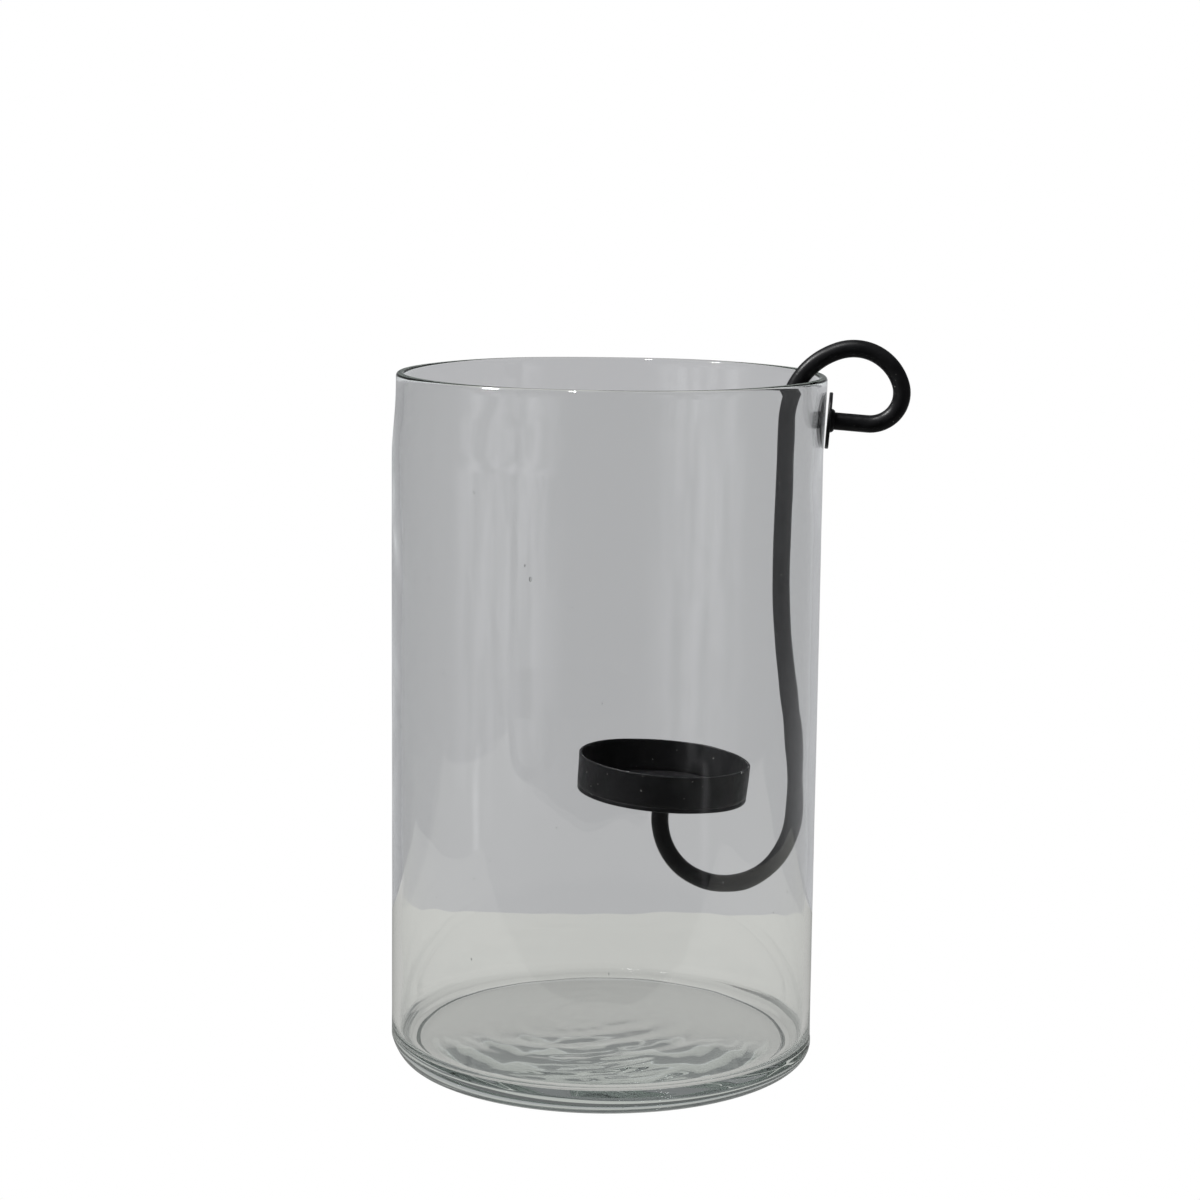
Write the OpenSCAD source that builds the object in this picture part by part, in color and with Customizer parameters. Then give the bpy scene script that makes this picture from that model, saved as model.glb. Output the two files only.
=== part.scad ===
// Glass candle hurricane with a tealight cup hooked over its rim.
//
// A straight blown-glass cylinder stands on the narrow ring of its base, and its floor swells up
// in the middle. The hanger is bent from one round bar. Its foot bears on the outside of the
// wall, a finger loop carries it over the rim, and an arm goes down inside the wall and turns up
// again under a shallow cup.
//
// Frame: millimetres, +Z up, origin on the glass axis at the level it stands on, +X towards the
// finger loop. The bar's centre line lies in the XZ plane. The hanger lifts out along +Z.

/* [Glass] */
// Outer diameter of the glass
glass_d = 120.4; // [116:0.4:126]
// Height of the glass
glass_h = 196; // [190:1:230]
// Thickness of the glass wall
wall_t = 2.4; // [2:0.1:2.5]
// How far the wall leans in at the rim
rim_lean = 0.4; // [0.2:0.1:0.6]
// Thickness of the base beside the wall
base_t = 7; // [5:0.5:9]
// Outside rounding between the wall and the base
base_round = 6.5; // [5:0.5:9]
// Inside rounding between the wall and the base
floor_round = 3; // [2:0.5:6]
// How far the floor swells up in the middle
floor_rise = 3.8; // [2:0.2:4.2]
// Width of the flat ring that it stands on, around the hollow under the base
ring_w = 1.2; // [0.6:0.2:4]
// Depth of the hollow under the base
punt_h = 0.8; // [0.4:0.1:1.2]

/* [Hanger] */
// Diameter of the bar that the hanger is bent from
bar_d = 5; // [4:0.5:5]
// Gap between the foot and the glass
foot_gap = 0.25; // [0.2:0.05:0.4]
// Radius of the finger loop's lower corner
heel_r = 8.6; // [8:0.2:9]
// Radius of the finger loop's crown
crown_r = 13.6; // [13:0.2:14.4]
// Radius of the bend that carries the bar over the rim
shoulder_r = 20; // [19.5:0.5:21]
// Length of the plumb stretch of the arm
arm_l = 37.5; // [30:0.5:46]
// Radius of the bend from the arm into the U
entry_r = 26; // [24:0.5:28]
// Radius of the U bend under the cup
sling_r = 18.3; // [17.5:0.2:19]

/* [Foot] */
// Diameter of the round foot
foot_d = 15.8; // [12:0.2:18]
// Thickness of the foot
foot_t = 1; // [0.8:0.1:1.5]
// Lean of the foot, its top away from the wall
foot_lean = 4; // [3:0.5:5]
// Depth of the foot's centre below the rim
foot_drop = 12.3; // [12.1:0.1:12.6]

/* [Cup] */
// Outer diameter of the cup
cup_d = 48.6; // [44:0.5:49]
// Outer height of the cup
cup_h = 10.4; // [8:0.2:14]
// Thickness of the strip that the cup's band is rolled from
band_t = 0.8; // [0.6:0.1:1]
// Thickness of the cup's round plate
plate_t = 1.2; // [1:0.1:1.5]
// Lean of the cup towards the arm
cup_lean = 4; // [2:0.5:4]

/* [Hidden] */
$fn = 96;

glass_r = glass_d / 2;
bore_r = glass_r - wall_t;
lip_z = glass_h - wall_t / 2;       // centre of the round lip
lean_z = glass_h - 22;              // where the wall starts to lean in
floor_r = bore_r - floor_round;
punt_r = glass_r - base_round - ring_w;
dome_r = (floor_r * floor_r + floor_rise * floor_rise) / (2 * floor_rise);

bar_r = bar_d / 2;
blend = 0.4;                        // shortest straight between two bends
lap = 0.05;                         // each straight reaches this far into its neighbours,
seam = 0.01;                        // and is this much thicker, so that they join as one solid

weld_w = 0.9;                       // reach of a weld bead out from the bar
weld_h = 1;                         // height of a weld bead along the bar
weld_top = 0.3;                     // thickness of a bead where it thins out on the bar

// The bar's route: [straight before the bend, radius of the bend, turn]. A positive turn carries
// the heading from +X towards +Z. The last turn brings the bar square to the leaning cup.
to_sling = [
    [10.2, heel_r, 115],
    [blend, crown_r, 90],
    [blend, shoulder_r, 68],
    [arm_l, 200, 8.2],
    [19.5, 150, -10],
    [blend, entry_r, -30]
];
last_turn = 90 - cup_lean + foot_lean - total([for (b = to_sling) b[2]]);
route = concat(to_sling, [[blend, sling_r, last_turn], [6.4, 0, 0]]);

// [x, z, heading] where the bar leaves the foot
bar_start = [
    glass_r + foot_gap + foot_d / 2 * sin(foot_lean) + foot_t * cos(foot_lean),
    glass_h - foot_drop - foot_t * sin(foot_lean),
    -foot_lean
];

function total(v, i = 0) = i < len(v) ? v[i] + total(v, i + 1) : 0;

// [x, z, heading] after one straight and its bend
function after(p, b) =
    let (h = p[2] + b[2], r = sign(b[2]) * b[1])
    [
        p[0] + b[0] * cos(p[2]) + r * (sin(h) - sin(p[2])),
        p[1] + b[0] * sin(p[2]) - r * (cos(h) - cos(p[2])),
        h
    ];

function place(i) = i == 0 ? bar_start : after(place(i - 1), route[i - 1]);

// Moves its children to the start of a stretch of the bar, with +X along the bar
module at(i) {
    p = place(i);
    translate([p[0], 0, p[1]]) rotate([0, -p[2], 0]) children();
}

// A round along +X from x = 0
module round_x(d, l, d_end = 0) {
    rotate([0, 90, 0]) cylinder(d1 = d, d2 = d_end > 0 ? d_end : d, h = l);
}

// A bend from the origin, heading +X, that turns by a towards +Z, or towards -Z if negative
module bend(r, a) {
    translate([0, 0, sign(a) * r]) rotate([90, 0, 0])
        rotate([0, 0, a > 0 ? -90 : 90 + a])
            rotate_extrude(angle = abs(a)) translate([r, 0]) circle(bar_r);
}

// Half outline of a closed barrel: rounded foot corner, straight side, side leaning in at the top
module barrel_outline(r, low, corner) {
    translate([0, low + corner]) square([r, lean_z - low - corner]);
    translate([0, low]) square([r - corner, corner + 1]);
    translate([r - corner, low + corner]) circle(corner);
    polygon([[0, lean_z], [r, lean_z], [r - rim_lean, lip_z], [0, lip_z]]);
}

// Half outline of the flat hollow under the base, with its edge at 45 degrees
module hollow_outline(r) {
    polygon([[0, -1], [r + 1, -1], [r - punt_h, punt_h], [0, punt_h]]);
}

// Weld bead around the bar from x = 0, thinning out along +X
module weld_bead() {
    difference() {
        round_x(bar_d + 2 * weld_w, weld_h, bar_d + 2 * weld_top);
        translate([-1, 0, 0]) round_x(bar_d + 2 * seam, weld_h + 2);
    }
}

module glass_cylinder() {
    color([0.78, 0.82, 0.82, 0.4]) rotate_extrude() {
        difference() {
            barrel_outline(glass_r, 0, base_round);
            difference() {
                barrel_outline(bore_r, base_t, floor_round);
                translate([0, base_t + floor_rise - dome_r]) circle(dome_r, $fn = 720);
            }
            hollow_outline(punt_r);
        }
        translate([glass_r - rim_lean - wall_t / 2, lip_z]) circle(d = wall_t);
    }
}

module hanger_bar() {
    color([0.09, 0.09, 0.1]) for (i = [0 : len(route) - 1]) {
        b = route[i];
        from = i == 0 ? 0 : -lap;
        to = b[0] + (b[1] > 0 ? lap : 0);
        at(i) translate([from, 0, 0]) round_x(bar_d + 2 * seam, to - from);
        if (b[1] > 0) at(i) translate([b[0], 0, 0]) bend(b[1], b[2]);
    }
}

module foot_disc() {
    color([0.1, 0.1, 0.11]) at(0) translate([-foot_t, 0, 0]) round_x(foot_d, foot_t);
}

module foot_weld() {
    color([0.14, 0.14, 0.15]) at(0) weld_bead();
}

module cup_plate() {
    color([0.08, 0.08, 0.09]) at(len(route)) round_x(cup_d, plate_t);
}

module cup_band() {
    color([0.11, 0.11, 0.12]) at(len(route)) difference() {
        translate([plate_t, 0, 0]) round_x(cup_d, cup_h - plate_t);
        translate([plate_t - 1, 0, 0]) round_x(cup_d - 2 * band_t, cup_h);
    }
}

module cup_weld() {
    color([0.14, 0.14, 0.15]) at(len(route)) mirror([1, 0, 0]) weld_bead();
}

glass_cylinder();
hanger_bar();
foot_disc();
foot_weld();
cup_band();
cup_plate();
cup_weld();
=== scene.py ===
"""Looks of the glass candle hurricane and its iron hanger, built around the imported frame.

Sizes of the object are in millimetres and become metres when a mesh is made. The glass axis is
the Z axis, and the bar of the hanger lies in the XZ plane, with the finger loop towards +X. The
stage at the end is in metres.
"""

import math

import bpy
import numpy as np
from mathutils import Matrix, Vector


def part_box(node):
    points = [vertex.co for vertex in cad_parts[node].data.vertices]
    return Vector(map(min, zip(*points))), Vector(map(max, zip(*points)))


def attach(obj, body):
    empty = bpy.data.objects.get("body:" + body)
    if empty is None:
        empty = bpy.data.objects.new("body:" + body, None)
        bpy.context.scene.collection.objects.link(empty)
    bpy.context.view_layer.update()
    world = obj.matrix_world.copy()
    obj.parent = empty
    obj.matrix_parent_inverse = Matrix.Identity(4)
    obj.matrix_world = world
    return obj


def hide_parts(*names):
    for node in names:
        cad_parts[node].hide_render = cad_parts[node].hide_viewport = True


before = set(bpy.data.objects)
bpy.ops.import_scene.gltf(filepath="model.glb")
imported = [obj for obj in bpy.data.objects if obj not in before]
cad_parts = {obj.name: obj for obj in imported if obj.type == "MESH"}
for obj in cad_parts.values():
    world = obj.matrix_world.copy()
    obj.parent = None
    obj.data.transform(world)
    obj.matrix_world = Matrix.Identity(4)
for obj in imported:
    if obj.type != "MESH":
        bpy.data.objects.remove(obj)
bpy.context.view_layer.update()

MM = 0.001
rng = np.random.default_rng(17)

# ---------------------------------------------------------------------------------------------
# Sizes in millimetres and degrees, from the frame where it has them
# ---------------------------------------------------------------------------------------------

_, glass_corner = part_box("glass_cylinder")
GLASS_R = min(glass_corner[0], glass_corner[1]) / MM
GLASS_H = glass_corner[2] / MM
WALL = 2.4                      # thickness of the wall
WALL_MIDDLE = GLASS_R - WALL / 2
BORE_R = GLASS_R - WALL
RIM_LEAN = 0.4                  # how far the rim leans in, on average
RIM_DRIFT = 0.8                 # how far the rim's centre lies towards +X
RIM_FLARE = 0.25                # how far the rim is pulled out where the hanger hangs
LEAN_START = GLASS_H - 22
LIP_Z = GLASS_H - WALL / 2      # centre of the round lip
BASE = 7.0                      # thickness of the base beside the wall
BASE_ROUND = 6.5                # outside rounding between wall and base
HEEL_SHIFT = 0.5                # how much fuller the outside rounding is on one side
FLOOR_ROUND = 3.0               # inside rounding between wall and base
FLOOR_RISE = 3.8                # how far the floor swells in the middle
RING_W = 1.2                    # flat ring that the glass stands on
PUNT_R = GLASS_R - BASE_ROUND - RING_W
PUNT_H = 0.8                    # depth of the hollow inside the ring
PUNT_EDGE = 1.4                 # width of the slope at the hollow's edge
GLASS_TURNS = 288               # points round the glass

RIPPLE = 0.12                   # waves that both faces of the wall share
RIPPLE_OUT = 0.07               # the outside's waves end at this height and all move in by it
LIP_DIP = 0.10                  # unevenness of the lip's height, per millimetre above its centre
UNDER_RIPPLE = 0.012            # depth and spacing of the ripples on the underside
UNDER_PITCH = 13
SWIRL_DEPTH = 0.060             # depth and spacing of the rings on the floor
SWIRL_PITCH = 9.5
SWIRL_FINE_DEPTH = 0.008        # and of the finer rings between them
SWIRL_FINE_PITCH = 5.3
# how the rings wander off their circles: reach, lobes round the floor and start angle
SWIRL_DRIFT = [(3.2, 1, 0.6), (1.9, 2, 2.1), (1.0, 3, 4.0)]

# Larger bubbles: direction in degrees, radius, height, and half sizes round, up and into the wall
BASE_BUBBLE_R = GLASS_R - 1.6
BUBBLES = [
    (-105, WALL_MIDDLE, 146, 0.35, 0.7, 0.3),
    (-106.5, WALL_MIDDLE, 149.5, 0.2, 0.4, 0.2),
    (-76, BASE_BUBBLE_R, 3.6, 0.5, 0.15, 0.15),
    (-73, BASE_BUBBLE_R, 4.2, 0.2, 0.15, 0.15),
    (-79.5, BASE_BUBBLE_R, 3.2, 0.25, 0.15, 0.15),
]
SEED_COUNT = 26                 # small seeds, scattered in the wall

BAR_R = 2.5
BAR_STEP = 0.7                  # distance between the rings of points along the bar
FORGED_DEPTH = 0.045            # long dents and short flats that the hammer left on the bar
FLAT_DEPTH = 0.016
FOOT_R = 7.9
FOOT_T = 1.0
FOOT_EDGE = 0.3                 # rounding of the foot's edge
FOOT_GAP = 0.25                 # gap between the foot and the wall
FOOT_LEAN = 4.0
FOOT_DROP = 12.3                # depth of the foot's centre below the rim
CUP_LEAN = 4.0
CUP_R = 24.3
CUP_H = 10.4
BAND_T = 0.8                    # thickness of the cup's band
BAND_INSET = 0.05               # step from the plate's edge in to the band
BAND_EDGE = 0.28                # rounding of the band's upper edge
BAND_CHAMFER = 0.12
BAND_FLARE = 0.22               # how far the band widens towards the top
BAND_OVAL = 0.16                # how far it is out of round
BAND_DENTS = 0.035
BAND_TIP = 0.12                 # unevenness of its upper edge
PLATE_T = 1.2                   # thickness of the cup's plate
PLATE_EDGE = 0.3                # rounding under the plate, and on top of it
PLATE_TOP_EDGE = 0.1
PLATE_SAG = 0.10
CAP_R = 0.8                     # rings end here, and a cap closes the middle
WELD_REACH = 0.9                # reach of a weld bead out from the bar
WELD_BITE = 0.35                # and into it
WELD_H = 1.0                    # height of a bead along the bar
WELD_TOP = 0.3                  # thickness of a bead where it thins out on the bar
WELD_BULGE = 0.22               # how far the bead's slope is rounded out

# The bar's route from the foot: straight before the bend, radius of the bend, turn in degrees.
# The last turn brings the bar square to the leaning cup.
BLEND = 0.4
TO_SLING = [
    (10.2, 8.6, 115),
    (BLEND, 13.6, 90),
    (BLEND, 20, 68),
    (37.5, 200, 8.2),
    (19.5, 150, -10),
    (BLEND, 26, -30),
]
last_turn = 90 - CUP_LEAN + FOOT_LEAN - sum(turn for _, _, turn in TO_SLING)
ROUTE = TO_SLING + [(BLEND, 18.3, last_turn), (6.4, 0, 0)]

# ---------------------------------------------------------------------------------------------
# Shapes
# ---------------------------------------------------------------------------------------------


def smooth(t):
    """0 below 0, 1 above 1, and a smooth step between."""
    t = np.clip(t, 0, 1)
    return t * t * (3 - 2 * t)


def arc(centre, radius, start, end, steps):
    """Points on an arc, from the start angle to the end angle in degrees."""
    a = np.radians(np.linspace(start, end, steps + 1))
    return [(centre[0] + radius * math.cos(t), centre[1] + radius * math.sin(t)) for t in a]


def line(start, end, steps):
    """Points between start and end, without either."""
    t = np.linspace(0, 1, steps + 1)[1:-1]
    return [(start[0] + (end[0] - start[0]) * k, start[1] + (end[1] - start[1]) * k) for k in t]


def round_angles(columns):
    """Angles round a ring, as a row that columns of radii and heights combine with."""
    return np.linspace(0, 2 * math.pi, columns, endpoint=False)[None, :]


def make_mesh(name, points, faces):
    """A smooth-shaded mesh object from points in millimetres."""
    mesh = bpy.data.meshes.new(name)
    mesh.from_pydata([tuple(p * MM) for p in points], [], faces)
    mesh.validate()
    mesh.shade_smooth()
    made = bpy.data.objects.new(name, mesh)
    bpy.context.scene.collection.objects.link(made)
    return made


def grid_faces(rows, columns):
    """Quads between rings of points; each ring closes on itself."""
    faces = []
    for i in range(rows - 1):
        for j in range(columns):
            k = (j + 1) % columns
            a, b = i * columns, (i + 1) * columns
            faces.append((a + j, a + k, b + k, b + j))
    return faces


def capped(rings):
    """Points and faces of a closed surface: rings, as ring x point x 3, and a cap on both ends."""
    rows, columns, _ = rings.shape
    points = list(rings.reshape(-1, 3))
    faces = grid_faces(rows, columns)
    start, end = len(points), len(points) + 1
    points += [rings[0].mean(0), rings[-1].mean(0)]
    last = (rows - 1) * columns
    for j in range(columns):
        k = (j + 1) % columns
        faces.append((start, k, j))
        faces.append((end, last + j, last + k))
    return points, faces


def closed_tube(name, rings):
    """A closed mesh from rings of points, with a cap on both ends."""
    points, faces = capped(rings)
    return make_mesh(name, np.array(points), faces)


def ring_solid(name, rings):
    """A closed mesh from rings of points, where the last ring joins the first again."""
    rows, columns, _ = rings.shape
    faces = grid_faces(rows, columns)
    last = (rows - 1) * columns
    for j in range(columns):
        k = (j + 1) % columns
        faces.append((last + j, last + k, k, j))
    return make_mesh(name, rings.reshape(-1, 3), faces)


class Waves:
    """A smooth uneven field on a cylinder, from a few cosines. Values stay within -1 and 1.

    Each cosine has a whole number of turns round the cylinder and a wavelength along it.
    """

    def __init__(self, count, turns, lengths):
        self.turns = rng.integers(turns[0], turns[1] + 1, count)
        self.rise = 2 * math.pi / rng.uniform(lengths[0], lengths[1], count)
        self.rise *= rng.choice([-1, 1], count)
        self.phase = rng.uniform(0, 2 * math.pi, count)
        self.weight = rng.uniform(0.5, 1, count)
        self.weight /= self.weight.sum()

    def __call__(self, angle, height):
        angle, height = np.broadcast_arrays(angle, height)
        total = np.zeros(angle.shape)
        for t, r, p, w in zip(self.turns, self.rise, self.phase, self.weight):
            total += w * np.cos(t * angle + r * height + p)
        return total


# ---------------------------------------------------------------------------------------------
# Glass
# ---------------------------------------------------------------------------------------------


def glass_outline():
    """Half outline of the glass from the middle of its underside out, up, over the lip, and
    down the inside to the middle of the floor, with each point's zone."""
    # wide steps over the flat middle of the hollow, and fine ones on the slope at its edge
    radii = [2, 12, 22, 32, 42, 48] + list(np.linspace(PUNT_R - PUNT_EDGE, PUNT_R, 8))
    under = [(r, PUNT_H * (1 - smooth((r - PUNT_R) / PUNT_EDGE + 1))) for r in radii]
    heel_r = GLASS_R - BASE_ROUND
    floor_r = BORE_R - FLOOR_ROUND
    floor_top = BASE + FLOOR_ROUND
    stretches = {
        "under": under,
        "ring": line((PUNT_R, 0), (heel_r, 0), steps=3),
        "heel": arc((heel_r, BASE_ROUND), BASE_ROUND, -90, 0, steps=12),
        "outside": line((GLASS_R, BASE_ROUND), (GLASS_R, LIP_Z), steps=112),
        "lip": arc((WALL_MIDDLE, LIP_Z), WALL / 2, 0, 180, steps=14),
        "inside": line((BORE_R, LIP_Z), (BORE_R, floor_top), steps=108),
        "foot": arc((floor_r, floor_top), FLOOR_ROUND, 0, -90, steps=9),
        "floor": line((floor_r, BASE), (0, BASE), steps=52),
    }
    points = np.array([point for stretch in stretches.values() for point in stretch])
    zone = np.array([name for name, stretch in stretches.items() for _ in stretch])
    return points, zone


def rim_shift(angle, z):
    """How far the wall moves out at height z, over the last stretch below the rim."""
    t = np.clip((z - LEAN_START) / (LIP_Z - LEAN_START), 0, 1)
    flare = RIM_FLARE * smooth((np.cos(angle) - 0.75) / 0.25)
    return (RIM_DRIFT * np.cos(angle) + flare - RIM_LEAN) * smooth(t) ** 0.7


def wall_waves(broad, middle, fine, phase):
    """Unevenness of a blown wall as a function of angle and height, with three scales."""
    big = Waves(7, turns=(1, 5), lengths=(110, 320))
    mid = Waves(16, turns=(5, 13), lengths=(26, 90))
    small = Waves(24, turns=(12, 26), lengths=(9, 30))

    def field(angle, z):
        # the two finer scales come and go round the wall
        patch = 0.55 + 0.45 * np.cos(2 * angle + z / 47 + phase)
        coarse = broad * big(angle, z) + middle * patch * mid(angle, z)
        return coarse + fine * patch * small(angle, z)

    return field


def glass_shift_out(zone, angle, z):
    """How far each point of the glass lies off its even outline, away from the axis."""
    outer = wall_waves(broad=0.10, middle=0.06, fine=0.020, phase=0.0)
    inner = wall_waves(broad=0.20, middle=0.08, fine=0.020, phase=2.0)
    ripple = Waves(36, turns=(10, 26), lengths=(14, 40))
    both = RIPPLE * (0.6 + 0.4 * np.cos(3 * angle + z / 31)) * ripple(angle, z)
    # the waves fade out towards the base and the lip
    fade = smooth((z - 2) / 14) * (1 - smooth((z - (LIP_Z - 9)) / 9))
    on_outside = np.isin(zone, ["outside", "heel"])
    on_inside = np.isin(zone, ["inside", "foot"])
    taken_back = np.minimum(outer(angle, z) + both, RIPPLE_OUT) - RIPPLE_OUT
    shift = np.where(on_outside, fade * taken_back, 0)
    shift = shift + np.where(on_inside, fade * (inner(angle, z) + both), 0)
    shift = shift + np.where(on_inside | on_outside | (zone == "lip"), rim_shift(angle, z), 0)
    heel = HEEL_SHIFT * np.cos(angle - 0.3) * np.sin(math.pi * np.clip(z / BASE_ROUND, 0, 1))
    return shift + np.where(zone == "heel", heel, 0)


def swirl(radius, angle):
    """Ripples left on the floor of a spun vessel: a loose spiral of uneven rings."""
    drift = sum(reach * np.cos(lobes * angle + start) for reach, lobes, start in SWIRL_DRIFT)
    rings = np.cos(2 * math.pi * (radius + drift) / SWIRL_PITCH + angle)
    finer = np.cos(2 * math.pi * (radius - 0.8 * drift) / SWIRL_FINE_PITCH - angle + 1.2)
    uneven = 0.6 + 0.4 * np.cos(2 * angle + radius / 9)
    # weak in the very middle and weaker again towards the wall
    gather = smooth((radius - 3) / 8) * (1 - 0.8 * smooth((radius - 34) / 10))
    return gather * (SWIRL_DEPTH * rings * uneven + SWIRL_FINE_DEPTH * finer)


def glass_shift_up(zone, angle, r, z):
    """How far each point of the glass lies above its even outline."""
    lip_wave = Waves(6, turns=(2, 7), lengths=(200, 400))
    shift = np.where(z > LIP_Z, LIP_DIP * (lip_wave(angle, z) - 1) * (z - LIP_Z), 0)
    swell = FLOOR_RISE * np.clip(1 - (r / (GLASS_R - WALL - FLOOR_ROUND)) ** 2, 0, 1)
    shift = shift + np.where(zone == "floor", swell + swirl(r, angle), 0)
    ripple = UNDER_RIPPLE * np.cos(2 * math.pi * r / UNDER_PITCH + 2 * angle)
    return shift + np.where(zone == "under", ripple * smooth((PUNT_R - r) / 10), 0)


def bubble(turn, radius, z, along, rise, depth):
    """A small closed hollow in the glass, as half lengths round the wall, up it and into it."""
    turn = math.radians(turn)
    out = np.array([math.cos(turn), math.sin(turn), 0])
    side = np.array([-math.sin(turn), math.cos(turn), 0])
    tilt = np.linspace(-math.pi / 2, math.pi / 2, 9)[1:-1][:, None]
    angle = round_angles(10)
    across = depth * np.cos(tilt) * np.cos(angle)
    round_it = -along * np.cos(tilt) * np.sin(angle)
    up = rise * np.sin(tilt) + 0 * angle
    rings = radius * out + np.array([0, 0, z]) + across[..., None] * out
    return capped(rings + round_it[..., None] * side + up[..., None] * [0, 0, 1])


def scattered_seeds():
    """Seeds in the wall, as bubble() takes them: small, and drawn out upwards."""
    seeds = []
    for _ in range(SEED_COUNT):
        size = rng.uniform(0.10, 0.20)
        z = rng.uniform(14, 168)
        turn = rng.uniform(-180, 180)
        longer = rng.uniform(1.2, 2.6)
        seeds.append((turn, WALL_MIDDLE, z, size, size * longer, size))
    return seeds


def build_glass():
    outline, zone = glass_outline()
    zone = zone[:, None]
    angle = round_angles(GLASS_TURNS)
    r = outline[:, 0][:, None] + 0 * angle
    z = outline[:, 1][:, None] + 0 * angle
    shift_out = glass_shift_out(zone, angle, z)
    shift_up = glass_shift_up(zone, angle, r, z)
    r = r + shift_out
    z = z + shift_up
    points, faces = capped(np.stack([r * np.cos(angle), r * np.sin(angle), z], axis=-1))
    for seed in BUBBLES + scattered_seeds():
        more_points, more_faces = bubble(*seed)
        faces += [tuple(len(points) + k for k in face) for face in more_faces]
        points += more_points
    return make_mesh("glass_vessel", np.array(points), faces)


# ---------------------------------------------------------------------------------------------
# Iron
# ---------------------------------------------------------------------------------------------


def after(place, bend):
    """x, z and heading in degrees after one straight and its bend."""
    x, z, heading = place
    straight, radius, turn = bend
    h0, h1 = math.radians(heading), math.radians(heading + turn)
    r = math.copysign(radius, turn)
    x += straight * math.cos(h0) + r * (math.sin(h1) - math.sin(h0))
    z += straight * math.sin(h0) - r * (math.cos(h1) - math.cos(h0))
    return x, z, heading + turn


lean = math.radians(FOOT_LEAN)
BAR_START = (
    GLASS_R + FOOT_GAP + FOOT_R * math.sin(lean) + FOOT_T * math.cos(lean),
    GLASS_H - FOOT_DROP - FOOT_T * math.sin(lean),
    -FOOT_LEAN,
)


def route_places(step):
    """Centre line of the bar as an array of x, z, heading in degrees and distance."""
    found = []
    place = BAR_START
    gone = 0.0
    for straight, radius, turn in ROUTE:
        for s in np.arange(0, straight, step):
            found.append((*after(place, (s, 0, 0)), gone + s))
        place = after(place, (straight, 0, 0))
        gone += straight
        length = radius * abs(math.radians(turn))
        count = max(int(length / step), 1) if turn else 0
        for k in range(count):
            bent = after(place, (0, radius, turn * k / count))
            found.append((*bent, gone + length * k / count))
        place = after(place, (0, radius, turn)) if turn else place
        gone += length
    found.append((*place, gone))
    return np.array(found)


def lay_along(place, rings):
    """Moves rings made along +X to a place on the bar's route, with +X along the bar."""
    x, z, heading = place
    a = math.radians(heading)
    along = np.array([math.cos(a), 0, math.sin(a)])
    side = np.array([0, 1, 0])
    up = np.array([-math.sin(a), 0, math.cos(a)])
    moved = np.array([x, 0, z]) + rings[..., :1] * along
    return moved + rings[..., 1:2] * side + rings[..., 2:] * up


def turned(outline, columns, wobble):
    """Rings along +X from an outline of (x, radius), each moved by wobble(x, radius, angle)."""
    outline = np.array(outline)
    angle = round_angles(columns)
    x = outline[:, 0][:, None] + 0 * angle
    r = outline[:, 1][:, None] + 0 * angle
    shift_x, shift_r = wobble(x, r, angle)
    x = x + shift_x
    r = r + shift_r
    return np.stack([x, -r * np.cos(angle), r * np.sin(angle)], axis=-1)


def build_bar():
    places = route_places(BAR_STEP)
    angle = round_angles(32)
    forged = Waves(10, turns=(1, 3), lengths=(9, 34))
    flats = Waves(8, turns=(2, 5), lengths=(5, 14))
    s = places[:, 3][:, None]
    radius = BAR_R - FORGED_DEPTH * (1 - forged(angle, s)) - FLAT_DEPTH * (1 - flats(angle, s))
    heading = np.radians(places[:, 2])[:, None]
    across = radius * np.cos(angle)
    out = radius * np.sin(angle)
    x = places[:, 0][:, None] - out * np.sin(heading)
    z = places[:, 1][:, None] + out * np.cos(heading)
    return closed_tube("hanger_rod", np.stack([x, -across, z], axis=-1))


def build_foot():
    """The round foot: flat on both sides, with a rounded edge that isn't quite true."""
    edge_r = FOOT_R - FOOT_EDGE
    half = FOOT_R * 0.5
    outline = [(-FOOT_T, CAP_R), (-FOOT_T, half)]
    outline += arc((-FOOT_T + FOOT_EDGE, edge_r), FOOT_EDGE, 180, 90, steps=5)
    outline += arc((-FOOT_EDGE, edge_r), FOOT_EDGE, 90, 0, steps=5)
    outline += [(0, half), (0, CAP_R)]
    rim = Waves(5, turns=(2, 6), lengths=(90, 200))

    def wobble(x, r, angle):
        bent = -0.04 * (1 - rim(angle, x)) * (r / FOOT_R)
        worn = -0.07 * (1 - rim(angle, 40 + x)) * (r / FOOT_R)
        return bent, worn

    return closed_tube("foot_pad", lay_along(BAR_START, turned(outline, 72, wobble)))


def build_weld(name, place, side):
    """An uneven fillet bead round the bar. side is 1 along the bar and -1 back along it."""
    inner = BAR_R - WELD_BITE
    wide = BAR_R + WELD_REACH
    outline = [(0.0, inner), (0.0, wide)]
    for t in np.linspace(0.12, 1, 8):
        bulge = math.sin(math.pi * t) * WELD_BULGE
        outline.append((WELD_H * t, wide + (BAR_R + WELD_TOP - wide) * t + bulge))
    outline.append((WELD_H, inner))
    lumps = Waves(9, turns=(3, 11), lengths=(20, 60))

    def wobble(x, r, angle):
        outside = smooth((r - BAR_R) / WELD_REACH)
        lump = lumps(angle, 7 * x)
        return 0.10 * outside * (lump - 1) * (x > 0.05), 0.16 * outside * (lump - 0.8)

    rings = turned(outline, 64, wobble)
    if side < 0:
        rings = rings[::-1]
        rings[..., 0] *= -1
    return ring_solid(name, lay_along(place, rings))


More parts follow.
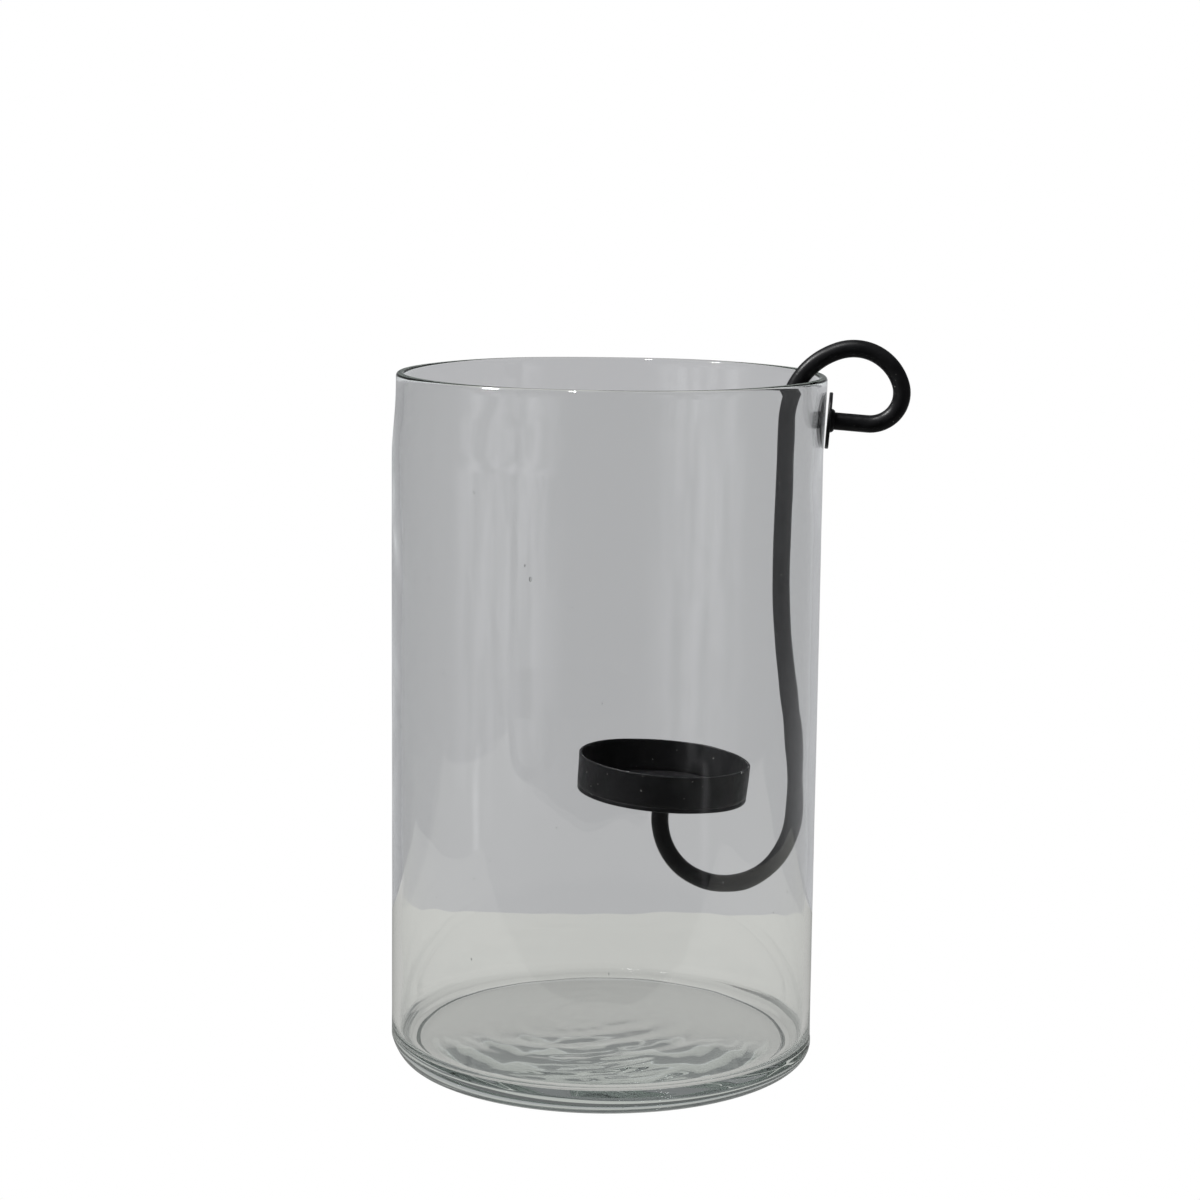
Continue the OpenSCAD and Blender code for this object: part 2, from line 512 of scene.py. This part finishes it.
def build_band(place):
    """The cup's rolled band, slightly out of round and dented, with an uneven upper edge."""
    outer, inner = CUP_R - BAND_INSET, CUP_R - BAND_T
    low, high = PLATE_T, CUP_H
    out = Waves(4, turns=(2, 4), lengths=(200, 400))
    dents = Waves(8, turns=(3, 9), lengths=(12, 40))

    def wobble(x, r, angle):
        t = (x - PLATE_T) / (CUP_H - PLATE_T)
        oval = BAND_OVAL * out(angle, x) * (0.4 + 0.6 * t)
        tip = BAND_TIP * out(angle, 90 + 0 * x) * smooth((t - 0.6) / 0.4)
        return tip, BAND_FLARE * t + oval + BAND_DENTS * dents(angle, x)

    outline = [(low, inner + 0.1), (low, outer - BAND_CHAMFER), (low + BAND_CHAMFER, outer)]
    outline += [(x, outer) for x in np.linspace(low + 1, high - 1, 8)]
    outline += arc((high - BAND_EDGE, outer - BAND_EDGE), BAND_EDGE, 90, 0, steps=4)
    outline += arc((high - BAND_EDGE, inner + BAND_EDGE), BAND_EDGE, 0, -90, steps=4)
    outline += [(x, inner) for x in np.linspace(high - 1, low + 1, 8)]
    return ring_solid("cup_wall", lay_along(place, turned(outline, 160, wobble)))


def build_plate(place):
    """The cup's plate, with a rounded lower edge and a middle that sags."""
    under_edge = (PLATE_EDGE, CUP_R - PLATE_EDGE)
    top_edge = (PLATE_T - PLATE_TOP_EDGE, CUP_R - PLATE_TOP_EDGE)
    outline = [(0.0, CAP_R), (0.0, 8.0), (0.0, 16.0)]
    outline += arc(under_edge, PLATE_EDGE, 180, 90, steps=4)
    outline += arc(top_edge, PLATE_TOP_EDGE, 90, 0, steps=2)
    outline += [(PLATE_T, 16.0), (PLATE_T, 8.0), (PLATE_T, CAP_R)]
    sag = Waves(5, turns=(1, 4), lengths=(200, 400))

    def wobble(x, r, angle):
        soft = 1 - smooth((r - 6) / 16)
        dip = PLATE_SAG * soft * (sag(angle, 0 * x) + 0.4) * (x > PLATE_T / 2)
        return dip, 0.05 * (r > 20) * (sag(angle, 50) - 1)

    return closed_tube("cup_floor", lay_along(place, turned(outline, 160, wobble)))


# ---------------------------------------------------------------------------------------------
# Materials; noise scales are per metre
# ---------------------------------------------------------------------------------------------

GLASS_COLOUR = (0.985, 0.99, 0.985, 1)
GLASS_IOR = 1.51
GLASS_TINT = (0.60, 0.68, 0.64, 1)
GLASS_TINT_DENSITY = 5.0
BAR_TONES = [(0.003, 0.003, 0.0034), (0.008, 0.008, 0.0088)]
SHEET_TONES = [(0.0025, 0.0025, 0.003), (0.0065, 0.0065, 0.0072)]
DUST = (0.16, 0.16, 0.15, 1)


def grey(level):
    return (level, level, level)


class Graph:
    """Shorthand for the shader nodes of one material or world."""

    def __init__(self, owner):
        owner.use_nodes = True
        self.nodes = owner.node_tree.nodes
        self.links = owner.node_tree.links

    def add(self, kind, **settings):
        """A new node, with settings such as its operation."""
        node = self.nodes.new(kind)
        for name, value in settings.items():
            setattr(node, name, value)
        return node

    def feed(self, socket, value):
        """Links an output to an input, or sets the input to a plain value."""
        if isinstance(value, bpy.types.NodeSocket):
            self.links.new(value, socket)
        else:
            socket.default_value = value

    def math(self, kind, *values):
        node = self.add("ShaderNodeMath", operation=kind)
        for socket, value in zip(node.inputs, values):
            self.feed(socket, value)
        return node.outputs[0]

    def product(self, first, *others):
        for value in others:
            first = self.math("MULTIPLY", first, value)
        return first

    def stretch(self, value, span, levels):
        """The first level below the span, the second above it, and a smooth step between."""
        node = self.add("ShaderNodeMapRange", interpolation_type="SMOOTHSTEP")
        for name, number in zip(("From Min", "From Max", "To Min", "To Max"), (*span, *levels)):
            node.inputs[name].default_value = number
        self.feed(node.inputs["Value"], value)
        return node.outputs["Result"]

    def ramp(self, source, stops):
        """Colours from (position, colour) pairs."""
        node = self.add("ShaderNodeValToRGB")
        elements = node.color_ramp.elements
        while len(elements) < len(stops):
            elements.new(0.5)
        for element, (position, colour) in zip(elements, stops):
            element.position = position
            element.color = (*colour, 1)
        self.feed(node.inputs["Fac"], source)
        return node.outputs["Color"]

    def levels(self, source, stops):
        """Grey levels from (position, level) pairs."""
        return self.ramp(source, [(position, grey(level)) for position, level in stops])

    def noise(self, place, scale, detail, roughness=0.5):
        node = self.add("ShaderNodeTexNoise")
        node.inputs["Scale"].default_value = scale
        node.inputs["Detail"].default_value = detail
        node.inputs["Roughness"].default_value = roughness
        self.feed(node.inputs["Vector"], place)
        return node.outputs["Fac"]

    def bump(self, height, strength, distance):
        node = self.add("ShaderNodeBump")
        node.inputs["Strength"].default_value = strength
        node.inputs["Distance"].default_value = distance
        self.feed(node.inputs["Height"], height)
        return node

    def glow(self, kind, colour):
        """An Emission or Background node of an even colour."""
        node = self.add(kind)
        node.inputs["Color"].default_value = (*colour, 1)
        node.inputs["Strength"].default_value = 1.0
        return node.outputs[0]

    def mix(self, factor, first, second):
        node = self.add("ShaderNodeMixShader")
        for socket, value in zip(node.inputs, (factor, first, second)):
            self.links.new(value, socket)
        return node.outputs[0]

    def choose(self, rows, rest):
        """Each row's shader shows where its socket is 1, the last row first, and else the rest."""
        for socket, shader in rows:
            rest = self.mix(socket, rest, shader)
        return rest


def clear_glass():
    """Slightly green soda glass that lets lamps through to what is inside it."""
    material = bpy.data.materials.new("clear_blown_glass")
    graph = Graph(material)
    glass = graph.nodes["Principled BSDF"]
    glass.inputs["Base Color"].default_value = GLASS_COLOUR
    glass.inputs["Roughness"].default_value = 0.0
    glass.inputs["IOR"].default_value = GLASS_IOR
    glass.inputs["Transmission Weight"].default_value = 1.0
    clear = graph.add("ShaderNodeBsdfTransparent")
    path = graph.add("ShaderNodeLightPath")
    shown = graph.mix(path.outputs["Is Shadow Ray"], glass.outputs[0], clear.outputs[0])
    tint = graph.add("ShaderNodeVolumeAbsorption")
    tint.inputs["Color"].default_value = GLASS_TINT
    tint.inputs["Density"].default_value = GLASS_TINT_DENSITY
    output = graph.nodes["Material Output"]
    graph.feed(output.inputs["Surface"], shown)
    graph.feed(output.inputs["Volume"], tint.outputs[0])
    return material


def black_iron(name, tones, rough, grain):
    """Satin black paint on iron: cloudy tone, uneven gloss, fine pitting and a few dust specks."""
    material = bpy.data.materials.new(name)
    graph = Graph(material)
    iron = graph.nodes["Principled BSDF"]
    place = graph.add("ShaderNodeTexCoord").outputs["Object"]
    clouds = graph.noise(place, scale=170, detail=4)
    tone = graph.ramp(clouds, [(0.35, tones[0]), (0.7, tones[1])])
    specks = graph.levels(graph.noise(place, scale=900, detail=1), [(0.77, 0), (0.80, 1)])
    dust = graph.add("ShaderNodeMix", data_type="RGBA")
    graph.feed(dust.inputs["Factor"], specks)
    graph.feed(dust.inputs["A"], tone)
    graph.feed(dust.inputs["B"], DUST)
    graph.feed(iron.inputs["Base Color"], dust.outputs["Result"])
    iron.inputs["Specular IOR Level"].default_value = 0.15
    patches = graph.noise(place, scale=260, detail=5, roughness=0.6)
    gloss = graph.levels(patches, [(0.3, rough - 0.08), (0.72, rough + 0.12)])
    graph.feed(iron.inputs["Roughness"], gloss)
    lumps = graph.noise(place, scale=grain * 0.3, detail=3)
    pits = graph.noise(place, scale=grain, detail=4, roughness=0.6)
    coarse = graph.bump(lumps, strength=0.35, distance=0.0004)
    fine = graph.bump(pits, strength=0.30, distance=0.00012)
    graph.feed(fine.inputs["Normal"], coarse.outputs[0])
    graph.feed(iron.inputs["Normal"], fine.outputs[0])
    return material


# ---------------------------------------------------------------------------------------------
# The pieces
# ---------------------------------------------------------------------------------------------


def add_piece(piece, material, body, node):
    """Gives a piece its material and the body that it rides on, and hides the CAD node it stands
    for.
    """
    piece.data.materials.append(material)
    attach(piece, body)
    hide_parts(node)


cup_place = BAR_START
for bend in ROUTE:
    cup_place = after(cup_place, bend)

bar_iron = black_iron("satin_black_bar", BAR_TONES, rough=0.36, grain=900)
sheet_iron = black_iron("satin_black_sheet", SHEET_TONES, rough=0.40, grain=1300)

add_piece(build_glass(), clear_glass(), "glass", "glass_cylinder")
add_piece(build_bar(), bar_iron, "hanger", "hanger_bar")
add_piece(build_foot(), bar_iron, "hanger", "foot_disc")
add_piece(build_weld("foot_bead", BAR_START, 1), bar_iron, "hanger", "foot_weld")
add_piece(build_weld("cup_bead", cup_place, -1), bar_iron, "hanger", "cup_weld")
add_piece(build_band(cup_place), sheet_iron, "hanger", "cup_band")
add_piece(build_plate(cup_place), sheet_iron, "hanger", "cup_plate")

# ---------------------------------------------------------------------------------------------
# Stage: a pale table in front of a grey backdrop, in a dim room with windows, in metres
# ---------------------------------------------------------------------------------------------

VIEW_TURN = math.radians(4.6)   # the camera stands this far round towards the finger loop

TABLE_BACK = 0.150              # from the glass axis to the table's far and near edges
TABLE_FRONT = 0.16
TABLE_SIDE = 0.30
TABLE_Z = 0.00002               # the ring under the glass is pressed onto the table
TABLE_PAINT = (0.75, 0.75, 0.74, 1)
# what rays see of it: after one reflection, after more, and straight through the glass
TABLE_MIRRORED = (0.24, 0.24, 0.235)
TABLE_MIRRORED_AGAIN = (0.60, 0.60, 0.58)
TABLE_BEHIND = (0.615, 0.615, 0.595, 1)
# painted shade on the table round the glass's foot, in place of the shadow that the glass casts:
# position from the axis out to the reach, level
PAINTED_SHADE_REACH = 0.100
TABLE_PAINTED_SHADE = [(0.47, 0.97), (0.55, 0.84), (0.60, 0.84), (0.70, 1.0)]

WHITE = grey(1)
BACKDROP = (0.50, 0.50, 0.515)  # what shows behind the table, through the glass
ROOM_LIGHT = grey(0.4)          # what the room gives to matt surfaces
ROOM_COLOUR = (0.98, 0.99, 1.02, 1)

# grey levels round the room, from behind the object past its left, front and right sides
ROOM_WALLS = [
    (0.00, 0.38), (0.09, 0.27), (0.14, 0.24), (0.20, 0.17), (0.28, 0.20), (0.36, 0.16),
    (0.44, 0.05), (0.50, 0.02), (0.60, 0.04), (0.70, 0.14), (0.80, 0.24), (0.90, 0.40),
    (1.00, 0.42),
]
ROOM_WINDOWS = [
    (0.250, 0.0), (0.285, 0.55), (0.400, 0.60), (0.440, 0.0), (0.600, 0.0), (0.625, 0.36),
    (0.655, 0.36), (0.690, 0.0),
]
# narrow bright strips below the windows
ROOM_STRIPS = [
    (0.292, 0.0), (0.298, 0.7), (0.302, 0.7), (0.308, 0.0), (0.649, 0.0), (0.654, 0.35),
    (0.658, 0.35), (0.663, 0.0),
]
# heights in the room, as the upward part of a ray's direction
WINDOW_SILL = (-0.235, -0.215)
LOW_PANES = (-0.24, -0.09)
STRIP_FOOT = (-0.270, -0.255)
STRIP_TOP = (-0.225, -0.215)
EYE_LEVEL = (0.0, 0.06)
PANES_ROUND = 6.5               # how fast the brightness of the panes changes round and up
PANES_UP = 14.0
# a ray that was reflected this many times or more sees at least these levels: the first below
# the span of heights, the second above it
LEAST_LEVELS = [(2, (-0.07, -0.02), (0.22, 0.24)), (3, (0.02, 0.16), (0.80, 0.20))]

CAMERA_PLACE = (-0.00163, -0.7929, 0.25875)
CAMERA_PITCH = math.radians(9.10)
CAMERA_ROLL = 0.0114
CAMERA_SENSOR = 36              # millimetres, as the lens
CAMERA_LENS = 85.48
PANEL_DISTANCE = 1.1


def turn_stage(made):
    """Turns a lamp, the table or the camera with the side that the camera looks from."""
    made.matrix_world = Matrix.Rotation(VIEW_TURN, 4, "Z") @ made.matrix_world


def table_paint():
    """Matt for light, white for the camera, and even levels where the glass or iron shows it, but
    with painted shade round the glass's foot where the table shows through the glass.
    """
    material = bpy.data.materials.new("pale_table")
    graph = Graph(material)
    plain = graph.nodes["Principled BSDF"]
    plain.inputs["Base Color"].default_value = TABLE_PAINT
    plain.inputs["Roughness"].default_value = 0.9
    place = graph.add("ShaderNodeTexCoord").outputs["Object"]
    reach = graph.add("ShaderNodeVectorMath", operation="LENGTH")
    graph.feed(reach.inputs[0], place)
    # painted shade: what shows of the table through the glass is darker in a ring round the
    # glass's foot
    painted_shade = graph.levels(graph.math("DIVIDE", reach.outputs["Value"], PAINTED_SHADE_REACH), TABLE_PAINTED_SHADE)
    through = graph.add("ShaderNodeEmission")
    through.inputs["Color"].default_value = TABLE_BEHIND
    graph.feed(through.inputs["Strength"], painted_shade)
    path = graph.add("ShaderNodeLightPath")
    mirrored_again = graph.math("GREATER_THAN", path.outputs["Glossy Depth"], 1.5)
    rows = [
        (path.outputs["Is Glossy Ray"], graph.glow("ShaderNodeEmission", TABLE_MIRRORED)),
        (mirrored_again, graph.glow("ShaderNodeEmission", TABLE_MIRRORED_AGAIN)),
        (path.outputs["Is Transmission Ray"], through.outputs[0]),
        (path.outputs["Is Camera Ray"], graph.glow("ShaderNodeEmission", WHITE)),
    ]
    shown = graph.choose(rows, plain.outputs[0])
    graph.feed(graph.nodes["Material Output"].inputs["Surface"], shown)
    return material


def build_table():
    corners = [
        (-TABLE_SIDE, -TABLE_FRONT),
        (TABLE_SIDE, -TABLE_FRONT),
        (TABLE_SIDE, TABLE_BACK),
        (-TABLE_SIDE, TABLE_BACK),
    ]
    mesh = bpy.data.meshes.new("table_top")
    mesh.from_pydata([(x, y, TABLE_Z) for x, y in corners], [], [(0, 1, 2, 3)])
    mesh.materials.append(table_paint())
    table = bpy.data.objects.new("table_top", mesh)
    bpy.context.scene.collection.objects.link(table)
    turn_stage(table)


def room_level(graph, glossy_depth):
    """Brightness of the room in a ray's direction."""
    place = graph.add("ShaderNodeTexCoord").outputs["Generated"]

    def component(toward):
        node = graph.add("ShaderNodeVectorMath", operation="DOT_PRODUCT")
        graph.feed(node.inputs[0], place)
        node.inputs[1].default_value = toward
        return node.outputs["Value"]

    right = component((math.cos(VIEW_TURN), math.sin(VIEW_TURN), 0))
    front = component((math.sin(VIEW_TURN), -math.cos(VIEW_TURN), 0))
    height = component((0, 0, 1))
    azimuth = graph.math("ARCTAN2", right, front)
    # from 0 to 1, with the camera's side at 0.5 and the side to its left below that
    round_room = graph.math("MULTIPLY_ADD", azimuth, 1 / (2 * math.pi), 0.5)

    spot = graph.add("ShaderNodeCombineXYZ")
    graph.feed(spot.inputs["X"], graph.math("MULTIPLY", azimuth, PANES_ROUND))
    graph.feed(spot.inputs["Y"], graph.math("MULTIPLY", height, PANES_UP))
    panes = graph.noise(spot.outputs[0], scale=1.0, detail=3.0)
    windows = graph.product(
        graph.levels(round_room, ROOM_WINDOWS),
        graph.stretch(panes, (0.36, 0.64), (0.15, 1.25)),
        graph.stretch(height, WINDOW_SILL, (0.0, 1.0)),
        graph.stretch(height, LOW_PANES, (0.45, 1.15)),
    )
    strip_height = graph.math(
        "MULTIPLY",
        graph.stretch(height, STRIP_FOOT, (0.0, 1.0)),
        graph.stretch(height, STRIP_TOP, (1.0, 0.0)),
    )
    strips = graph.math("MULTIPLY", graph.levels(round_room, ROOM_STRIPS), strip_height)
    level = graph.math("ADD", graph.levels(round_room, ROOM_WALLS), windows)
    level = graph.math("ADD", level, strips)
    level = graph.math("MULTIPLY", level, graph.stretch(height, EYE_LEVEL, (1.0, 0.40)))

    for count, span, least in LEAST_LEVELS:
        often = graph.math("GREATER_THAN", glossy_depth, count - 0.5)
        least_here = graph.math("MULTIPLY", often, graph.stretch(height, span, least))
        level = graph.math("MAXIMUM", level, least_here)
    return level


def build_world():
    """Grey behind the glass, white for the camera, and a dim room with windows for reflections."""
    world = bpy.data.worlds.new("studio")
    bpy.context.scene.world = world
    graph = Graph(world)
    path = graph.add("ShaderNodeLightPath")
    glossy_depth = path.outputs["Glossy Depth"]
    room = graph.nodes["Background"]
    room.inputs["Color"].default_value = ROOM_COLOUR
    graph.feed(room.inputs["Strength"], room_level(graph, glossy_depth))
    unmirrored = graph.math("LESS_THAN", glossy_depth, 0.5)
    through = graph.math("MULTIPLY", path.outputs["Is Transmission Ray"], unmirrored)
    rows = [
        (path.outputs["Is Diffuse Ray"], graph.glow("ShaderNodeBackground", ROOM_LIGHT)),
        (through, graph.glow("ShaderNodeBackground", BACKDROP)),
        (path.outputs["Is Camera Ray"], graph.glow("ShaderNodeBackground", WHITE)),
    ]
    shown = graph.choose(rows, room.outputs[0])
    graph.feed(graph.nodes["World Output"].inputs["Surface"], shown)


def add_panel(name, toward, size, level):
    """A square soft box of even brightness, facing the object from the given direction."""
    lamp = bpy.data.lights.new(name, "AREA")
    lamp.shape = "SQUARE"
    lamp.size = size
    lamp.energy = level * math.pi * size * size
    target = Vector((0, 0, GLASS_H * MM / 2))
    direction = Vector(toward).normalized()
    made = bpy.data.objects.new(name, lamp)
    made.location = target + direction * PANEL_DISTANCE
    made.rotation_euler = direction.to_track_quat("Z", "Y").to_euler()
    made.visible_camera = False
    made.visible_transmission = False
    bpy.context.scene.collection.objects.link(made)
    bpy.context.view_layer.update()
    turn_stage(made)


def build_camera():
    camera = bpy.data.cameras.new("camera")
    camera.sensor_width = CAMERA_SENSOR
    camera.lens = CAMERA_LENS
    made = bpy.data.objects.new("camera", camera)
    bpy.context.scene.collection.objects.link(made)
    ahead = Vector((0, math.cos(CAMERA_PITCH), -math.sin(CAMERA_PITCH)))
    up = Vector((0, math.sin(CAMERA_PITCH), math.cos(CAMERA_PITCH)))
    side = Vector((1, 0, 0))
    across = side * math.cos(CAMERA_ROLL) + up * math.sin(CAMERA_ROLL)
    over = up * math.cos(CAMERA_ROLL) - side * math.sin(CAMERA_ROLL)
    turn = Matrix((across, over, -ahead)).transposed().to_4x4()
    made.matrix_world = Matrix.Translation(CAMERA_PLACE) @ turn
    turn_stage(made)
    bpy.context.scene.camera = made


build_table()
build_world()
add_panel("key_panel", (-0.63, -0.05, 0.77), size=0.12, level=430.0)
add_panel("top_panel", (-0.20, -0.20, 0.96), size=0.10, level=230.0)
build_camera()

# light crosses and turns back in the thick base many times before it leaves the glass
scene = bpy.context.scene
scene.view_settings.view_transform = "Standard"
scene.cycles.max_bounces = 96
scene.cycles.transmission_bounces = 48
scene.cycles.glossy_bounces = 80
scene.cycles.caustics_reflective = False
scene.cycles.caustics_refractive = False
